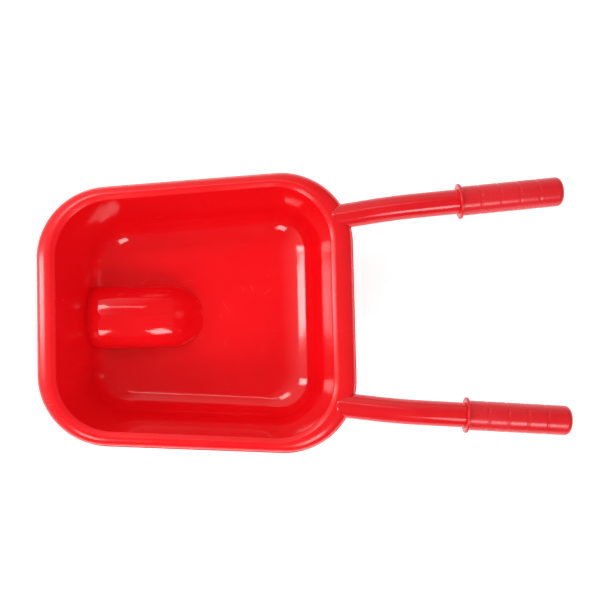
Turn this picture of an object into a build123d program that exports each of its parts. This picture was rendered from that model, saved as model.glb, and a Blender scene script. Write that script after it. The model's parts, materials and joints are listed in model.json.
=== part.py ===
"""A child's plastic wheelbarrow: a moulded tray on a fork, a wheel and two legs, with two tubular handles.

Millimetres. +Z is up, -X is the front (the wheel's end) and +X is the end with the grips. Left and right are
those of the child who pushes it, so left is -Y. The origin is on the ground, under the middle of the outline.
"""

from build123d import *

import os
from math import cos, radians, sin, sqrt, tan

# ---------------------------------------------------------------- driving dimensions
# Tray, over its rolled rim. The two widths are those of the straight sides, carried on to the tray's ends.
rim_length = 378.5
rim_front_width = 297.5
rim_rear_width = 351.5
rim_height = 270.0
rim_corner_radius = 86.5
front_rim_width = 24.0
side_rim_width = 19.0
rear_rim_width = 28.5
rim_roll_radius = 10.0
rim_mouth_radius = 6.0
rim_skirt = 20.0
lip_width = 2.5
lip_thickness = 2.5
wall = 3.0

# Load space, from the mouth inside the rim down to the floor.
floor_above_axle = 53.0
front_slope = 35.0
rear_slope = 23.0
side_slope = 20.0
floor_corner_radius = 48.0
floor_fillet_radius = 28.0
rib_thickness = 2.0
rear_rib_spacing = 78.0
side_rib_spacing = 110.0

# Wheel, its housing in the floor, and its axle.
wheel_radius = 95.0
wheel_width = 46.0
wheel_ahead = 95.0
wheel_clearance = 14.0
housing_width = 85.0
housing_front_length = 62.0
housing_rear_length = 98.5
housing_corner_radius = 38.0
housing_crown_radius = 26.0
housing_draft = 6.0
outlet_clearance = 4.0
tyre_depth = 17.0
tyre_seat_width = 40.0
tyre_shoulder_radius = 7.0
tread_depth = 3.0
tread_gap = 5.0
tread_count = 30
flange_height = 5.0
wheel_wall = 3.0
web_inset = 17.0
hub_radius = 12.0
hub_length = 86.0
bush_radius = 7.5
bush_length = 16.0
bush_flange = 2.0
spoke_hole_count = 6
spoke_hole_radius = 12.5
spoke_circle_radius = 52.0
wheel_screw_circle = 24.0
wheel_screw_count = 3
axle_radius = 4.0
axle_clearance = 0.08
washer_radius = 9.0
washer_thickness = 1.6
washer_play = 0.4
cap_radius = 8.5
cap_length = 9.0
cap_wall = 2.5

# Handles and grips. Yaw is the outward lean in plan and pitch is the climb, in degrees.
handle_inset = 62.65
handle_radius = 15.0
handle_wall = 2.5
nose_overlap = 21.5
nose_drop = 13.4
neck_length = 69.0
neck_yaw = 7.8
neck_pitch = 6.8
shaft_length = 207.0
shaft_yaw = 4.5
shaft_pitch = 3.6
bend_radius = 700.0
plug_length = 34.0
lug_length = 34.0
lug_width = 26.0
lug_thickness = 10.0
lug_end = 9.0
grip_length = 126.5
grip_wall = 2.8
grip_groove_depth = 0.5
grip_groove_width = 3.0
grip_segments = 5
grip_end_wall = 4.0
grip_end_radius = 7.0
collar_height = 3.7
collar_thickness = 3.6

# Fork and legs, which hang from hollow pads under the floor.
pad_height = 8.0
pad_wall = 3.0
boss_radius = 5.5
fork_pad_length = 58.0
fork_pad_width = 26.0
fork_pad_behind_axle = 20.0
fork_plate = 8.0
fork_eye_radius = 13.0
fork_eye_boss = 2.0
flange_thickness = 5.0
leg_pad_length = 76.0
leg_pad_width = 34.0
leg_behind = 76.0
leg_inset = 88.0
leg_top_length = 44.0
leg_top_width = 30.0
leg_foot_length = 28.0
leg_foot_width = 22.0
leg_splay = 8.0
leg_corner_radius = 6.0
leg_wall = 3.0
foot_wall = 3.0
foot_floor = 4.0
foot_height = 16.0
brace_height = 22.0
brace_thickness = 6.0
brace_level = 62.0
brace_overhang = 11.0

# Self-tapping screws, and the play that fitted pieces have.
screw_radius = 2.0
screw_head_radius = 4.0
screw_head_height = 2.8
pad_screw_length = 12.0
handle_screw_length = 16.0
wheel_screw_length = 24.0
screw_inset = 8.0
handle_screw_spacing = 14.0
handle_screw_turn = 22.0
counterbore_depth = 4.0
play = 0.15
drive_depth = 1.4
drive_width = 1.1

# ---------------------------------------------------------------- places worked out from them
flare = (rim_rear_width - rim_front_width) / 2 / rim_length
floor_z = wheel_radius + floor_above_axle
underside_z = floor_z - wall
pad_z = underside_z - pad_height
flange_z = pad_z - flange_thickness
skirt_z = rim_height - rim_skirt


def heading(yaw, pitch):
    """The unit vector that leans out by yaw and climbs by pitch from +X."""
    level = cos(radians(pitch))
    return Vector(level * cos(radians(yaw)), level * sin(radians(yaw)), sin(radians(pitch)))


neck_direction = heading(neck_yaw, neck_pitch)
shaft_direction = heading(shaft_yaw, shaft_pitch)
grip_radius = handle_radius + grip_wall
collar_radius = grip_radius + collar_height
grip_tilt = sqrt(1 - shaft_direction.X**2)
grip_tip = (grip_radius - grip_end_radius) * grip_tilt + grip_end_radius * (1 - shaft_direction.X)
front_reach = max(rim_length / 2, wheel_ahead + wheel_radius)
handle_run = (neck_direction * neck_length + shaft_direction * shaft_length).X
rear_reach = rim_length / 2 - nose_overlap + handle_run + grip_tip
tray_x = (front_reach - rear_reach) / 2
rim_front_x = tray_x - rim_length / 2
rim_rear_x = tray_x + rim_length / 2
wheel_x = tray_x - wheel_ahead

nose = Vector(rim_rear_x - nose_overlap, rim_rear_width / 2 - handle_inset, rim_height - nose_drop)
bend = nose + neck_direction * neck_length
handle_end = bend + shaft_direction * shaft_length
tube_end = handle_end - shaft_direction * grip_end_wall
collar_point = handle_end - shaft_direction * grip_length
lug_z = skirt_z - lug_thickness

arch_radius = wheel_radius + wheel_clearance + wall
outlet_half_width = wheel_width / 2 + outlet_clearance
outlet_z = wheel_radius + sqrt(wheel_radius**2 - (housing_front_length - 2 * wall) ** 2) + outlet_clearance
fork_y = hub_length / 2 + washer_thickness + washer_play
fork_pad_x = wheel_x + fork_pad_behind_axle
fork_pad_y = fork_y + fork_pad_width / 2
fork_outer_y = fork_y + fork_plate + fork_eye_boss
leg_pad_x = tray_x + leg_behind
leg_y = rim_rear_width / 2 - leg_inset
leg_rear_x = leg_pad_x + leg_top_length / 2
fork_screw_places = [
    (fork_pad_x - fork_pad_length / 2 + screw_inset, fork_pad_y + fork_plate / 2),
    (fork_pad_x + fork_pad_length / 2 - screw_inset, fork_pad_y + fork_plate / 2),
]
leg_screw_places = [
    (leg_pad_x - leg_pad_length / 2 + screw_inset, leg_y),
    (leg_pad_x + leg_pad_length / 2 - screw_inset, leg_y),
]
handle_screw_step = Vector(0, handle_screw_spacing / 2, 0).rotate(Axis.Z, handle_screw_turn)
handle_screw_places = [
    (nose.X - handle_screw_step.X, nose.Y - handle_screw_step.Y),
    (nose.X + handle_screw_step.X, nose.Y + handle_screw_step.Y),
]


def both_sides(places):
    """The same places again, mirrored to the other side."""
    return places + [(x, -y) for x, y in places]


# ---------------------------------------------------------------- shared forms
def tray_corners(front_inset, rear_inset, side_inset):
    """The four corners of the tray's outline, taken in from the rim's outer edge."""
    front = rim_front_x + front_inset
    rear = rim_rear_x - rear_inset
    side = side_inset * sqrt(1 + flare**2)
    front_half = rim_front_width / 2 + front_inset * flare - side
    rear_half = rim_rear_width / 2 - rear_inset * flare - side
    return [(front, -front_half), (rear, -rear_half), (rear, rear_half), (front, front_half)]


def rim_form(grow, bottom_z):
    """The rolled rim as if it were solid, grown outwards by the given amount."""
    inset = lip_width - grow
    with BuildPart() as form:
        with BuildSketch(Plane.XY.offset(bottom_z)) as outline:
            Polygon(*tray_corners(inset, inset, inset), align=None)
            fillet(outline.vertices(), rim_corner_radius - inset)
        extrude(amount=rim_height + grow - bottom_z)
        fillet(form.edges().group_by(Axis.Z)[-1], rim_roll_radius + grow)
    return form.part


def lip_form(grow, bottom_z):
    """The lip that stands out at the foot of the rim's skirt, as a solid plate."""
    with BuildPart() as form:
        with BuildSketch(Plane.XY.offset(bottom_z)) as outline:
            Polygon(*tray_corners(-grow, -grow, -grow), align=None)
            fillet(outline.vertices(), rim_corner_radius + grow)
        extrude(amount=skirt_z + lip_thickness + grow - bottom_z)
    return form.part


def tub_form(grow):
    """The tub below the rim, from its floor to its mouth, grown outwards by the given amount."""
    floor_insets = [
        front_rim_width + front_slope - grow,
        rear_rim_width + rear_slope - grow,
        side_rim_width + side_slope - grow,
    ]
    mouth_insets = [front_rim_width - grow, rear_rim_width - grow, side_rim_width - grow]
    with BuildPart() as form:
        with BuildSketch(Plane.XY.offset(floor_z - grow)) as bottom:
            Polygon(*tray_corners(*floor_insets), align=None)
            fillet(bottom.vertices(), floor_corner_radius + grow)
        with BuildSketch(Plane.XY.offset(rim_height)) as mouth:
            Polygon(*tray_corners(*mouth_insets), align=None)
            fillet(mouth.vertices(), rim_corner_radius - side_rim_width + grow)
        loft(ruled=True)
        fillet(form.edges().group_by(Axis.Z)[0], floor_fillet_radius + grow)
    return form.part


def housing_form(shrink):
    """The hump over the wheel: a drafted block under an arch about the axle, with a rounded crown."""
    base_z = wheel_radius
    spread = (floor_z - base_z) * tan(radians(housing_draft)) - shrink
    front = wheel_x - housing_front_length - spread
    rear = wheel_x + housing_rear_length + spread
    half = housing_width / 2 + spread
    with BuildPart() as form:
        with BuildSketch(Plane.XY.offset(base_z)) as plan:
            Polygon((front, -half), (rear, -half), (rear, half), (front, half), align=None)
            fillet(plan.vertices().group_by(Axis.X)[0], housing_corner_radius - shrink)
            fillet(plan.vertices().group_by(Axis.X)[-1], half * 0.95)
        extrude(amount=arch_radius + wall, taper=housing_draft)
        with BuildSketch(Plane.XZ):
            with Locations((wheel_x, wheel_radius)):
                Circle(arch_radius - shrink)
        extrude(amount=housing_width, both=True, mode=Mode.INTERSECT)
        top = form.faces().filter_by(GeomType.CYLINDER).sort_by(SortBy.AREA)[-1]
        fillet(top.edges(), housing_crown_radius - shrink)
    return form.part


def pad_form(length, width, screw_places, centre):
    """A hollow pad under the floor, with a boss round each of its screws."""
    with BuildPart() as form:
        with BuildSketch(Plane.XY.offset(pad_z)):
            with Locations(centre):
                RectangleRounded(length, width, pad_wall)
                RectangleRounded(length - 2 * pad_wall, width - 2 * pad_wall, pad_wall / 2, mode=Mode.SUBTRACT)
            with Locations(screw_places):
                Circle(boss_radius)
        extrude(amount=floor_z - pad_z + wall)
    return form.part


def screw_form(length):
    """A pan-headed self-tapping screw, with its head's seat at the origin and its shank along +Z."""
    with BuildPart() as form:
        with BuildSketch(Plane.XY):
            Circle(screw_radius)
        extrude(amount=length)
        chamfer(form.edges().group_by(Axis.Z)[-1], 2 * screw_radius, 0.6 * screw_radius)
        with BuildSketch(Plane.XY.offset(-screw_head_height)):
            Circle(screw_head_radius)
        extrude(amount=screw_head_height)
        fillet(form.edges().group_by(Axis.Z)[0], screw_head_height / 2)
        with BuildSketch(Plane.XY.offset(-screw_head_height)):
            Rectangle(screw_head_radius, drive_width)
            Rectangle(drive_width, screw_head_radius)
        extrude(amount=drive_depth, mode=Mode.SUBTRACT)
    return form.part


# ---------------------------------------------------------------- tray
with BuildPart() as housing:
    add(housing_form(0))
    add(tub_form(wall), mode=Mode.INTERSECT)

with BuildPart() as rim_ribs:
    with BuildSketch(Plane.XY.offset(skirt_z + lip_thickness)):
        with GridLocations(side_rib_spacing, rim_rear_width / 2, 3, 2):
            with Locations((tray_x, rim_rear_width / 4), (tray_x, -rim_rear_width / 4)):
                Rectangle(rib_thickness, rim_rear_width / 2)
        with Locations((tray_x, 0)):
            with GridLocations(0, rear_rib_spacing, 1, 3):
                Rectangle(rim_length, rib_thickness)
    extrude(amount=rim_skirt - lip_thickness - wall / 2)
    add(rim_form(-wall / 2, skirt_z), mode=Mode.INTERSECT)

with BuildPart() as tray:
    add(rim_form(0, skirt_z))
    add(lip_form(0, skirt_z))
    add(rim_form(-wall, skirt_z - wall), mode=Mode.SUBTRACT)
    add(rim_ribs.part)
    with BuildSketch(Plane.XY.offset(skirt_z)):
        with Locations(both_sides(handle_screw_places)):
            Circle(boss_radius)
    extrude(amount=rim_skirt - wall)
    add(tub_form(wall))
    for side in (1, -1):
        add(pad_form(fork_pad_length, fork_pad_width, [(x, side * y) for x, y in fork_screw_places],
                     (fork_pad_x, side * fork_pad_y)))
        add(pad_form(leg_pad_length, leg_pad_width, [(x, side * y) for x, y in leg_screw_places],
                     (leg_pad_x, side * leg_y)))
    add(tub_form(0), mode=Mode.SUBTRACT)
    rim_top = tray.faces().filter_by(Plane.XY).sort_by(Axis.Z)[-1]
    fillet(rim_top.inner_wires()[0].edges(), rim_mouth_radius)
    add(housing.part)
    add(housing_form(wall), mode=Mode.SUBTRACT)
    with BuildSketch(Plane.XY.offset(wheel_radius)):
        with Locations((wheel_x - housing_front_length - wheel_radius / 2, 0)):
            Rectangle(wheel_radius + 2 * housing_corner_radius, 2 * outlet_half_width)
    extrude(amount=outlet_z - wheel_radius, mode=Mode.SUBTRACT)
    with BuildSketch(Plane.XY.offset(pad_z)):
        with Locations(both_sides(fork_screw_places + leg_screw_places)):
            Circle(screw_radius)
    extrude(amount=pad_screw_length - flange_thickness, mode=Mode.SUBTRACT)
    with BuildSketch(Plane.XY.offset(skirt_z)):
        with Locations(both_sides(handle_screw_places)):
            Circle(screw_radius)
    extrude(amount=handle_screw_length - lug_thickness + counterbore_depth, mode=Mode.SUBTRACT)
tray.part.label = "tray"

# ---------------------------------------------------------------- handles and grips
with BuildPart() as handle_right:
    with BuildLine() as handle_line:
        FilletPolyline(nose, bend, tube_end, radius=bend_radius)
    with BuildSketch(Plane(origin=nose, z_dir=neck_direction)):
        Circle(handle_radius)
    sweep(path=handle_line.wire())
    with Locations(nose):
        Sphere(handle_radius)
    with BuildLine() as bore_line:
        FilletPolyline(nose + neck_direction * plug_length, bend, tube_end, radius=bend_radius)
    with BuildSketch(Plane(origin=nose + neck_direction * plug_length, z_dir=neck_direction)):
        Circle(handle_radius - handle_wall)
    sweep(path=bore_line.wire(), mode=Mode.SUBTRACT)
    with BuildSketch(Plane.XY.offset(lug_z)):
        with Locations(Location((nose.X, nose.Y), neck_yaw)):
            with Locations((lug_length / 2 - lug_end, 0)):
                RectangleRounded(lug_length, lug_width, lug_width / 4)
    extrude(amount=lug_thickness)
    add(rim_form(play, skirt_z), mode=Mode.SUBTRACT)
    add(lip_form(play, skirt_z), mode=Mode.SUBTRACT)
    add(tub_form(wall + play), mode=Mode.SUBTRACT)
    with BuildSketch(Plane.XY.offset(lug_z)):
        with Locations(handle_screw_places):
            Circle(screw_radius)
    extrude(amount=lug_thickness, mode=Mode.SUBTRACT)
    with BuildSketch(Plane.XY.offset(lug_z)):
        with Locations(handle_screw_places):
            Circle(screw_head_radius + play)
    extrude(amount=counterbore_depth, mode=Mode.SUBTRACT)
handle_right.part.label = "handle_right"

with BuildPart() as handle_left:
    mirror(handle_right.part, about=Plane.XZ)
handle_left.part.label = "handle_left"

grip_plane = Plane(origin=collar_point, z_dir=shaft_direction)
groove_step = grip_length / (grip_segments + 0.4)
with BuildPart() as grip_right:
    with BuildSketch(grip_plane):
        Circle(grip_radius)
    extrude(amount=grip_length)
    fillet(grip_right.edges().sort_by(Axis.X)[-1], grip_end_radius)
    for count in range(1, grip_segments):
        with BuildSketch(grip_plane.offset(count * groove_step)):
            Circle(grip_radius + 1)
            Circle(grip_radius - grip_groove_depth, mode=Mode.SUBTRACT)
        extrude(amount=grip_groove_width, mode=Mode.SUBTRACT)
    with BuildSketch(grip_plane):
        Circle(collar_radius)
        Circle(grip_radius - grip_groove_depth, mode=Mode.SUBTRACT)
    extrude(amount=collar_thickness)
    rim_edges = grip_right.edges().filter_by(GeomType.CIRCLE).filter_by(lambda e: e.radius > grip_radius + 1)
    fillet(rim_edges, collar_thickness * 0.45)
    with BuildSketch(grip_plane):
        Circle(handle_radius)
    extrude(amount=grip_length - grip_end_wall, mode=Mode.SUBTRACT)
grip_right.part.label = "grip_right"

with BuildPart() as grip_left:
    mirror(grip_right.part, about=Plane.XZ)
grip_left.part.label = "grip_left"

# ---------------------------------------------------------------- fork
with BuildPart() as fork_right:
    with BuildSketch(Plane.XZ.offset(-fork_y)) as fork_outline:
        with BuildLine():
            half_pad = fork_pad_length / 2
            top_front = (fork_pad_x - half_pad, pad_z)
            top_rear = (fork_pad_x + half_pad, pad_z)
            eye_rear = (wheel_x + fork_eye_radius, wheel_radius)
            eye_foot = (wheel_x, wheel_radius - fork_eye_radius)
            eye_front = (wheel_x - fork_eye_radius, wheel_radius)
            Polyline(eye_rear, (top_rear[0], flange_z), top_rear, top_front, eye_front)
            ThreePointArc(eye_front, eye_foot, eye_rear)
        make_face()
    extrude(amount=-fork_plate)
    with BuildSketch(Plane.XY.offset(flange_z)):
        with Locations((fork_pad_x, fork_pad_y)):
            RectangleRounded(fork_pad_length, fork_pad_width, pad_wall)
    extrude(amount=flange_thickness)
    with BuildSketch(Plane.XZ.offset(-fork_y - fork_plate)):
        with Locations((wheel_x, wheel_radius)):
            Circle(fork_eye_radius - 2)
    extrude(amount=-fork_eye_boss)
    with BuildSketch(Plane.XZ.offset(-fork_y)):
        with Locations((wheel_x, wheel_radius)):
            Circle(axle_radius)
    extrude(amount=-fork_plate - fork_eye_boss, mode=Mode.SUBTRACT)
    with BuildSketch(Plane.XY.offset(flange_z)):
        with Locations(fork_screw_places):
            Circle(screw_radius)
    extrude(amount=flange_thickness, mode=Mode.SUBTRACT)
fork_right.part.label = "fork_right"

with BuildPart() as fork_left:
    mirror(fork_right.part, about=Plane.XZ)
fork_left.part.label = "fork_left"

# ---------------------------------------------------------------- legs, feet and brace
leg_foot_y = leg_y + leg_splay
leg_foot_x = leg_rear_x - leg_foot_length / 2
brace_screw_y = leg_y + leg_splay * (1 - (brace_level - foot_floor) / (flange_z - foot_floor))


def leg_form(inset, bottom_z):
    """The tapering post of the right leg, with its rear face upright, taken in by the given amount."""
    with BuildPart() as form:
        with BuildSketch(Plane.XY.offset(foot_floor)):
            with Locations((leg_foot_x, leg_foot_y)):
                RectangleRounded(leg_foot_length - 2 * inset, leg_foot_width - 2 * inset, leg_corner_radius - inset)
        with BuildSketch(Plane.XY.offset(flange_z)):
            with Locations((leg_pad_x, leg_y)):
                RectangleRounded(leg_top_length - 2 * inset, leg_top_width - 2 * inset, leg_corner_radius - inset)
        loft(ruled=True)
        split(bisect_by=Plane.XY.offset(bottom_z), keep=Keep.TOP)
    return form.part


with BuildPart() as leg_void:
    add(leg_form(leg_wall, foot_floor))
    with BuildSketch(Plane.YZ.offset(leg_rear_x)):
        with Locations((brace_screw_y, brace_level)):
            Circle(boss_radius)
    extrude(amount=-leg_top_length, mode=Mode.SUBTRACT)

with BuildPart() as leg_right:
    add(leg_form(0, foot_floor))
    add(leg_void.part, mode=Mode.SUBTRACT)
    with BuildSketch(Plane.XY.offset(flange_z)):
        with Locations((leg_pad_x, leg_y)):
            RectangleRounded(leg_pad_length, leg_pad_width, pad_wall)
        with Locations(leg_screw_places):
            Circle(screw_radius, mode=Mode.SUBTRACT)
    extrude(amount=flange_thickness)
    with BuildSketch(Plane.YZ.offset(leg_rear_x)):
        with Locations((brace_screw_y, brace_level)):
            Circle(screw_radius)
    extrude(amount=brace_thickness - pad_screw_length, mode=Mode.SUBTRACT)
leg_right.part.label = "leg_right"

with BuildPart() as leg_left:
    mirror(leg_right.part, about=Plane.XZ)
leg_left.part.label = "leg_left"

with BuildPart() as foot_right:
    with BuildSketch(Plane.XY):
        with Locations((leg_foot_x, leg_foot_y)):
            RectangleRounded(
                leg_foot_length + 2 * foot_wall, leg_foot_width + 2 * foot_wall, leg_corner_radius + foot_wall
            )
    extrude(amount=foot_height)
    fillet(foot_right.edges().group_by(Axis.Z)[-1], foot_wall / 3)
    fillet(foot_right.edges().group_by(Axis.Z)[0], foot_wall / 2)
    add(leg_form(0, foot_floor), mode=Mode.SUBTRACT)
foot_right.part.label = "foot_right"

with BuildPart() as foot_left:
    mirror(foot_right.part, about=Plane.XZ)
foot_left.part.label = "foot_left"

with BuildPart() as leg_brace:
    with BuildSketch(Plane.YZ.offset(leg_rear_x)):
        with Locations((0, brace_level)):
            RectangleRounded(2 * (brace_screw_y + brace_overhang), brace_height, brace_height * 0.4)
        with Locations((brace_screw_y, brace_level), (-brace_screw_y, brace_level)):
            Circle(screw_radius, mode=Mode.SUBTRACT)
    extrude(amount=brace_thickness)
leg_brace.part.label = "leg_brace"

# ---------------------------------------------------------------- screws
with BuildPart() as frame_screws:
    with Locations(*[(x, y, flange_z) for x, y in both_sides(fork_screw_places + leg_screw_places)]):
        add(screw_form(pad_screw_length))
    for side in (1, -1):
        with Locations(Location((leg_rear_x + brace_thickness, side * brace_screw_y, brace_level), (0, -90, 0))):
            add(screw_form(pad_screw_length))
frame_screws.part.label = "frame_screws"

with BuildPart() as handle_screws:
    with Locations(*[(x, y, lug_z + counterbore_depth) for x, y in both_sides(handle_screw_places)]):
        add(screw_form(handle_screw_length))
handle_screws.part.label = "handle_screws"

# ---------------------------------------------------------------- axle
wheel_plane = Plane(origin=(wheel_x, 0, wheel_radius), x_dir=(1, 0, 0), z_dir=(0, 1, 0))
axle_half = fork_outer_y + cap_length - cap_wall

with BuildPart() as axle:
    with BuildSketch(wheel_plane.offset(-axle_half)):
        Circle(axle_radius)
    extrude(amount=2 * axle_half)
    chamfer(axle.edges().filter_by(GeomType.CIRCLE), axle_radius / 5)
axle.part.label = "axle"

with BuildPart() as axle_caps:
    with BuildSketch(wheel_plane.offset(fork_outer_y)):
        Circle(cap_radius)
    extrude(amount=cap_length)
    fillet(axle_caps.edges().sort_by(Axis.Y)[-1], cap_wall)
    with BuildSketch(wheel_plane.offset(fork_outer_y)):
        Circle(axle_radius)
    extrude(amount=cap_length - cap_wall, mode=Mode.SUBTRACT)
    mirror(about=Plane.XZ)
axle_caps.part.label = "axle_caps"

with BuildPart() as washers:
    with BuildSketch(wheel_plane.offset(fork_y - washer_thickness)):
        Circle(washer_radius)
        Circle(axle_radius, mode=Mode.SUBTRACT)
    extrude(amount=washer_thickness)
    mirror(about=Plane.XZ)
washers.part.label = "washers"

# ---------------------------------------------------------------- wheel
seat_radius = wheel_radius - tyre_depth
flange_radius = seat_radius + flange_height
hub_half = hub_length / 2 - bush_flange


def wheel_half_form():
    """The right half of the wheel's centre, moulded as one dish: hub, web, ribs, band and flange."""
    with BuildPart() as form:
        with BuildSketch(wheel_plane):
            Circle(seat_radius)
            Circle(seat_radius - wheel_wall, mode=Mode.SUBTRACT)
        extrude(amount=wheel_width / 2)
        with BuildSketch(wheel_plane.offset(tyre_seat_width / 2)):
            Circle(flange_radius)
            Circle(seat_radius - wheel_wall, mode=Mode.SUBTRACT)
        extrude(amount=(wheel_width - tyre_seat_width) / 2)
        with BuildSketch(wheel_plane.offset(web_inset - wheel_wall)):
            Circle(seat_radius - wheel_wall / 2)
            with PolarLocations(spoke_circle_radius, spoke_hole_count):
                Circle(spoke_hole_radius, mode=Mode.SUBTRACT)
        extrude(amount=wheel_wall)
        with BuildSketch(wheel_plane.offset(web_inset)):
            for count in range(spoke_hole_count):
                angle = (count + 0.5) * 360 / spoke_hole_count
                with PolarLocations(seat_radius / 2, 1, start_angle=angle):
                    Rectangle(seat_radius - wheel_wall, wheel_wall)
        extrude(amount=wheel_wall)
        with BuildSketch(wheel_plane):
            with PolarLocations(wheel_screw_circle, wheel_screw_count):
                Circle(boss_radius)
        extrude(amount=web_inset)
        with BuildSketch(wheel_plane):
            Circle(hub_radius)
        extrude(amount=hub_half)
        with BuildSketch(wheel_plane):
            Circle(bush_radius)
        extrude(amount=hub_half, mode=Mode.SUBTRACT)
    return form.part


with BuildPart() as wheel_half_right:
    add(wheel_half_form())
    with BuildSketch(wheel_plane):
        with PolarLocations(wheel_screw_circle, wheel_screw_count):
            Circle(screw_radius)
    extrude(amount=wheel_screw_length - web_inset, mode=Mode.SUBTRACT)
wheel_half_right.part.label = "wheel_half_right"

with BuildPart() as wheel_half_left:
    mirror(wheel_half_form(), about=Plane.XZ)
    with BuildSketch(wheel_plane.offset(-web_inset)):
        with PolarLocations(wheel_screw_circle, wheel_screw_count):
            Circle(screw_radius)
    extrude(amount=web_inset, mode=Mode.SUBTRACT)
wheel_half_left.part.label = "wheel_half_left"

with BuildPart() as wheel_screws:
    with BuildSketch(wheel_plane.offset(-web_inset)) as screw_seats:
        with PolarLocations(wheel_screw_circle, wheel_screw_count):
            Circle(screw_radius)
    with Locations(*[Location(face.center(), (-90, 0, 0)) for face in screw_seats.sketch.faces()]):
        add(screw_form(wheel_screw_length))
wheel_screws.part.label = "wheel_screws"

with BuildPart() as tyre:
    with BuildSketch(wheel_plane.offset(-wheel_width / 2)):
        Circle(wheel_radius)
        Circle(flange_radius, mode=Mode.SUBTRACT)
    extrude(amount=wheel_width)
    shoulders = tyre.edges().filter_by(GeomType.CIRCLE).filter_by(lambda edge: edge.radius > flange_radius + 1)
    fillet(shoulders, tyre_shoulder_radius)
    with BuildSketch(wheel_plane.offset(-tyre_seat_width / 2)):
        Circle(flange_radius + tread_depth)
        Circle(seat_radius, mode=Mode.SUBTRACT)
    extrude(amount=tyre_seat_width)
    for row, start in ((tread_gap, 0), (-tread_gap - wheel_width / 2, 180 / tread_count)):
        with BuildSketch(wheel_plane.offset(row)):
            with PolarLocations(wheel_radius, tread_count, start_angle=start):
                Rectangle(2 * tread_depth, tread_gap)
        extrude(amount=wheel_width / 2, mode=Mode.SUBTRACT)
tyre.part.label = "tyre"

with BuildPart() as bush_right:
    with BuildSketch(wheel_plane.offset(hub_length / 2 - bush_length)):
        Circle(bush_radius)
    extrude(amount=bush_length)
    with BuildSketch(wheel_plane.offset(hub_half)):
        Circle((bush_radius + hub_radius) / 2)
    extrude(amount=bush_flange)
    with BuildSketch(wheel_plane.offset(hub_length / 2 - bush_length)):
        Circle(axle_radius + axle_clearance)
    extrude(amount=bush_length, mode=Mode.SUBTRACT)
bush_right.part.label = "bush_right"

with BuildPart() as bush_left:
    mirror(bush_right.part, about=Plane.XZ)
bush_left.part.label = "bush_left"

# ---------------------------------------------------------------- files
os.makedirs("parts", exist_ok=True)
pieces = [
    tray.part, handle_right.part, handle_left.part, grip_right.part, grip_left.part, handle_screws.part,
    fork_right.part, fork_left.part, leg_right.part, leg_left.part, foot_right.part, foot_left.part,
    leg_brace.part, frame_screws.part, axle.part, axle_caps.part, washers.part,
    wheel_half_right.part, wheel_half_left.part, wheel_screws.part, tyre.part, bush_right.part, bush_left.part,
]
for piece in pieces:
    export_step(piece, f"parts/{piece.label}.step")
    box = piece.bounding_box()
    low = [round(value, 2) for value in box.min]
    high = [round(value, 2) for value in box.max]
    print(piece.label, len(piece.solids()), piece.is_valid, low, high)
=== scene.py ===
# %% [markdown]
# # A child's plastic wheelbarrow
#
# A wheelbarrow for a small child is a handful of glossy mouldings: a deep tray with a rolled rim, two tubular
# handles, grips pushed over their ends, and a wheel that turns under a hump in the tray's floor. The frame
# below holds every piece at its real size. This notebook keeps those places and gives each piece the smooth
# surface and the finish that a polished mould leaves on the plastic.

import json

import bmesh
import bpy
import numpy as np
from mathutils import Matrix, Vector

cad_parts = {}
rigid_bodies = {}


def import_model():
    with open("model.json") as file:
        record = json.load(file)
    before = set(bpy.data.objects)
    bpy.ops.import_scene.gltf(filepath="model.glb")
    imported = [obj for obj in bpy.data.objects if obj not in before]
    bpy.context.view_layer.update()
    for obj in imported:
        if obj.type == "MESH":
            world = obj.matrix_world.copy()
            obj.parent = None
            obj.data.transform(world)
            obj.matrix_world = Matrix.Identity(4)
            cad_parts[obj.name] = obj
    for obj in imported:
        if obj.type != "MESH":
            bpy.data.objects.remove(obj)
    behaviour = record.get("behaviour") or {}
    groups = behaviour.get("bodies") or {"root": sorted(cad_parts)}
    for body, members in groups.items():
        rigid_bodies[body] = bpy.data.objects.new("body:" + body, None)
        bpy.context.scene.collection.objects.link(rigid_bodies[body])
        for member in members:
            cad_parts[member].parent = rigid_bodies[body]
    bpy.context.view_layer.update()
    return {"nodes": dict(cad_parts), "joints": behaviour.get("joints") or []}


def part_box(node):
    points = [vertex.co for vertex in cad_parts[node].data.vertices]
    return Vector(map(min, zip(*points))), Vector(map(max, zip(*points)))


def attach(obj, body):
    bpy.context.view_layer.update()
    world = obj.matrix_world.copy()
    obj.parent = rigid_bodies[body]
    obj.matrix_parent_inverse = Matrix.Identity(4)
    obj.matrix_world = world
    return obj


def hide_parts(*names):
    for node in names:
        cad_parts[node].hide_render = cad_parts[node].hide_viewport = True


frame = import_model()
nodes = frame["nodes"]

# %% [markdown]
# The sizes of the mouldings are few, so they stand here in metres. The places come from the frame: the
# tray's own box gives the middle of its length, and the wheel's joint gives the axle. Where three numbers
# stand together, they are the tray's front, its rear and its sides. The fillet's run says how many times
# longer than high the sweep from floor to wall is on that side.

# %% Sizes and places
rim_length, rim_front_width, rim_rear_width = 0.3785, 0.2975, 0.3515
rim_corner, rim_roll, rim_mouth, rim_skirt = 0.0865, 0.010, 0.006, 0.020
lip_width, lip_thickness, wall = 0.0025, 0.0025, 0.003
floor_above_axle, floor_fillet, floor_corner = 0.053, 0.028, 0.048
rim_widths = np.array([0.024, 0.0285, 0.019])
wall_leans = np.array([0.035, 0.018, 0.020])
fillet_runs = np.array([1.40, 1.80, 1.0])

tray_low, tray_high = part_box("tray")
tray_x = (tray_low.x + tray_high.x) / 2
rim_z = tray_high.z
axle = np.array(frame["joints"][0]["pos_m"])
tyre_low, tyre_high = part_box("tyre")
wheel_radius = (tyre_high.z - tyre_low.z) / 2
floor_z = axle[2] + floor_above_axle
skirt_z = rim_z - rim_skirt
print("tray stands at x", round(tray_x, 4), "and the axle at", axle.round(4))

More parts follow.
